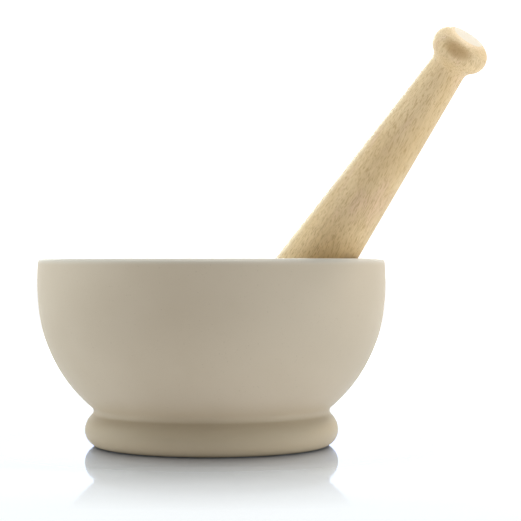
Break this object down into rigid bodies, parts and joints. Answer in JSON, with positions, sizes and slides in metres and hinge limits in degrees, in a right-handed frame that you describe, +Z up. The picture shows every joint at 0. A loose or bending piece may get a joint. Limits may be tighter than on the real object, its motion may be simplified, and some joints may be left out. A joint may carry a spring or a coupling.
{
  "type": "mortar and pestle",
  "caption": "Footed stoneware mortar with a round hollow and a plain level rim, and a pestle with a turned wooden handle and a stoneware grinding head.",
  "frame": {"origin": "on the mortar's axis, on the plane that its foot stands on", "axes": "+Z up along the mortar's axis; the pestle leans towards +X and -Y, over the rim"},
  "size_m": [0.2456, 0.202, 0.2305],
  "materials": {
    "stoneware": "matte, unglazed, cream",
    "head_stoneware": "matte, unglazed, cream",
    "beech": "turned, sanded, bare",
    "cement": "set adhesive"
  },
  "bodies": {
    "mortar": {"mortar": "stoneware"},
    "pestle": {"pestle_head": "head_stoneware", "head_cement": "cement", "pestle_handle": "beech"}
  },
  "joints": [
    {"name": "pestle_lift", "type": "slide", "parent": "mortar", "child": "pestle", "axis": [0, 0, 1], "range_m": [0, 0.15]}
  ]
}
